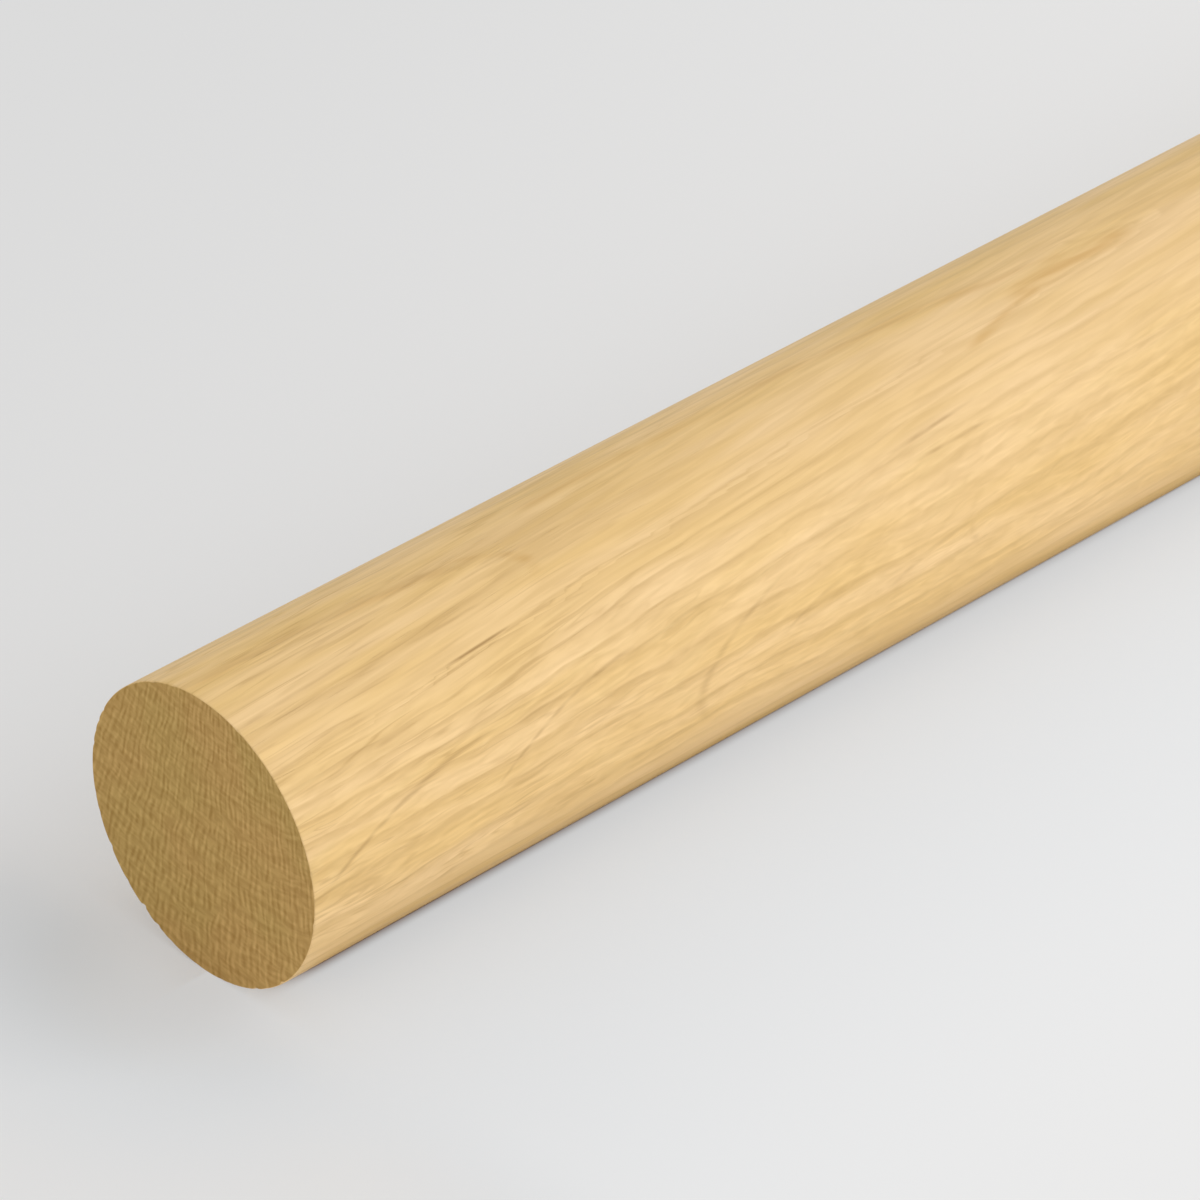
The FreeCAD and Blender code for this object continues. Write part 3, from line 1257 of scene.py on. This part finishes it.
def contact_shade(tree, at, beside):
    """How strong the painted brown shade is where the rail touches: a soft band or a narrower,
    sharper line, whichever is stronger, both fainter further along the rail."""
    band_strength = ramp(tree, at["sweep"], *CONTACT_SWEEP, 1.0, CONTACT_FAR)
    band = ramp(tree, at["away"], *CONTACT_NEAR, band_strength, 0.0)
    line_strength = ramp(tree, at["sweep"], *CONTACT_SWEEP, 1.0, CONTACT_LINE_FAR)
    line = ramp(tree, at["away"], *CONTACT_LINE, line_strength, 0.0)
    return times(tree, maths(tree, "MAXIMUM", band, line), beside)


def lit_colour(tree, at, past_end, contact):
    """Colour of the lit part of the floor: grey, cooled in front of the rail and off its end to
    make up for the warm light that the wood throws there, and a painted brown shade where the rail
    touches."""
    cool_end = times(tree, past_end, ramp(tree, at["away"], *COOL_PAST_END_FADES, 1.0, 0.0))
    cool_front = times(tree, at["in_front"], ramp(tree, at["past_near"], *COOL_FRONT_STOPS, 1.0, 0.0),
                       ramp(tree, at["away"], *COOL_NEAR, 1.0, 0.0))
    colour = blend(tree, cool_end, FLOOR_LIT, COOL_PAST_END)
    colour = blend(tree, cool_front, colour, COOL_IN_FRONT)
    return blend(tree, contact, colour, PAINTED_CONTACT_SHADE_COLOUR)


print(f"the shade where the rail touches ends {CONTACT_NEAR[1]} mm from the line it lies on")

# %% [markdown]
# The floor has two looks. Rays that show it see the pale one. Rays that only gather light for
# the rail see a plain diffuse floor with a dim strip right beside the rail, which keeps the
# rail's underside dark as in the photograph. A Light Path node tells the rays apart, so no
# second floor and no extra light are needed.

# %% Two looks for two kinds of ray
def grey(tree, value):
    """A grey colour from a number."""
    return add_node(tree, "ShaderNodeCombineColor", Red=value, Green=value, Blue=value).outputs[0]


def mix_surfaces(tree, share, first, second):
    """The first shader turning into the second as share goes from 0 to 1."""
    node = add_node(tree, "ShaderNodeMixShader", Fac=share)
    tree.links.new(first.outputs[0], node.inputs[1])
    tree.links.new(second.outputs[0], node.inputs[2])
    return node


def in_view(tree):
    """1 for the rays that show the background: those from the camera, and those mirrored or let
    through by a surface. 0 for the rays that only gather light."""
    kinds = add_node(tree, "ShaderNodeLightPath").outputs
    mirrored = maths(tree, "MAXIMUM", kinds["Is Camera Ray"], kinds["Is Glossy Ray"])
    return maths(tree, "MAXIMUM", mirrored, kinds["Is Transmission Ray"])


print("rays are told apart by", in_view.__name__)

# %% [markdown]
# The floor itself is one large flat square at the height on which the rail lies, so large that
# its edge is far out of view. A curved studio backdrop would hide the edge too, but here the
# camera looks down and never sees that far. All the measures made so far come together in its
# one material.

# %% The floor
FLOOR_HALF = 12.0
PAST_ENDS = (-12.0, 0.0)
PAST_NEAR_END = (-8.0, 10.0)
CONTACT_SHARE = 1.0
BOUNCE_NEAR = (15.0, 26.0)
BOUNCE_LEFT = 0.80
BOUNCE_RIGHT = 1.0
BOUNCE_LEAST = 0.02


def pale_floor():
    """A floor that is seen partly pale by itself and partly lit, and that throws light back on
    the rail, except from the dim strip right beside it. Only the camera sees past that strip's
    dimness, so that the satin side doesn't mirror a pale floor there."""
    material = new_material("pale_floor")
    tree = material.node_tree
    at = outputs_of(tree, floor_places)
    beside = ramp(tree, at["past_ends"], *PAST_ENDS, 1.0, 0.0)
    past_end = ramp(tree, at["past_near"], *PAST_NEAR_END)
    # painted shade where the rail touches; the floor there is also fully lit, so its real shadow shows
    # as well
    contact = contact_shade(tree, at, beside)
    glow = add_node(tree, "ShaderNodeEmission", Color=(1, 1, 1, 1), Strength=paleness_seen(tree, at))
    lit = add_node(tree, "ShaderNodeBsdfDiffuse", Color=lit_colour(tree, at, past_end, contact))
    share = between(tree, contact, shadow_share(tree, at, past_end), CONTACT_SHARE)
    seen = mix_surfaces(tree, share, glow, lit)

    dim = times(tree, ramp(tree, at["away"], *BOUNCE_NEAR, 1.0, 0.0), beside)
    paler = ramp(tree, at["sweep"], *FLOOR_SWEEP, BOUNCE_LEFT, BOUNCE_RIGHT)
    thrown_back = grey(tree, between(tree, dim, paler, BOUNCE_LEAST))
    back = add_node(tree, "ShaderNodeBsdfDiffuse", Color=thrown_back)
    by_camera = add_node(tree, "ShaderNodeLightPath").outputs["Is Camera Ray"]
    surface = mix_surfaces(tree, between(tree, dim, in_view(tree), by_camera), back, seen)
    add_node(tree, "ShaderNodeOutputMaterial", Surface=surface.outputs[0])
    return material


def add_floor():
    """A flat pale square at floor height."""
    mesh = bpy.data.meshes.new("floor")
    corners = np.array([[-1, -1, 0], [1, -1, 0], [1, 1, 0], [-1, 1, 0]]) * FLOOR_HALF
    mesh.from_pydata(corners.tolist(), [], [(0, 1, 2, 3)])
    mesh.materials.append(pale_floor())
    floor = bpy.data.objects.new("floor", mesh)
    bpy.context.scene.collection.objects.link(floor)


add_floor()
print(f"floor of {2 * FLOOR_HALF:.0f} m each way in place")

# %% [markdown]
# The light is that of a bright studio: even from all round, stronger from the front right, with
# one broad lamp off to the right of the camera. The lamp lights the front of the rail, leaves
# the near end in its own shade, and throws a very soft shadow off to the left. A picture of a
# real studio could light the scene as well, but a world that brightens towards one side does it
# with a few nodes and nothing to load.

# %% Even light and lamp
EVEN_LIGHT = 0.635
BRIGHT_SIDE = np.array([0.42, -0.72, 0.78])
BRIGHTER_BY = 0.41
BACKDROP = 0.78
LAMP_DIRECTION = np.array([0.55, -0.62, 0.55])
LAMP_DISTANCE = 5.0
LAMP_SIZE = 3.2
LAMP_POWER = 60.0


def add_even_light():
    """A world that lights from all round, more from its bright side and less from the other,
    and that looks as pale as the floor where it is seen."""
    world = bpy.data.worlds.new("even_light")
    world.use_nodes = True
    tree = world.node_tree
    tree.nodes.clear()
    direction = add_node(tree, "ShaderNodeTexCoord").outputs["Generated"]
    facing = dot_product(tree, direction, BRIGHT_SIDE / np.linalg.norm(BRIGHT_SIDE))
    light = maths(tree, "MULTIPLY_ADD", facing, EVEN_LIGHT * BRIGHTER_BY, EVEN_LIGHT)
    strength = between(tree, in_view(tree), light, BACKDROP)
    background = add_node(tree, "ShaderNodeBackground", Color=(1, 1, 1, 1), Strength=strength)
    add_node(tree, "ShaderNodeOutputWorld", Surface=background.outputs[0])
    bpy.context.scene.world = world


def add_lamp():
    """A broad square lamp that faces the near end of the rail from its direction."""
    lamp = bpy.data.lights.new("broad_lamp", "AREA")
    lamp.size = LAMP_SIZE
    lamp.energy = LAMP_POWER
    holder = bpy.data.objects.new("broad_lamp", lamp)
    direction = LAMP_DIRECTION / np.linalg.norm(LAMP_DIRECTION)
    holder.location = NEAR_END + LAMP_DISTANCE * direction
    tilt = math.acos(direction[2])
    turn = math.atan2(direction[1], direction[0]) + math.pi / 2
    holder.rotation_euler = (tilt, 0.0, turn)
    bpy.context.scene.collection.objects.link(holder)


add_even_light()
add_lamp()
bpy.context.scene.view_settings.view_transform = "Standard"
print(f"even light of {EVEN_LIGHT} and a lamp of {LAMP_POWER:.0f} W in place")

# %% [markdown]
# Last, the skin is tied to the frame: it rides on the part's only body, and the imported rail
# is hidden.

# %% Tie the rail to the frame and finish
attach(handrail, "root")
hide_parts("handrail")
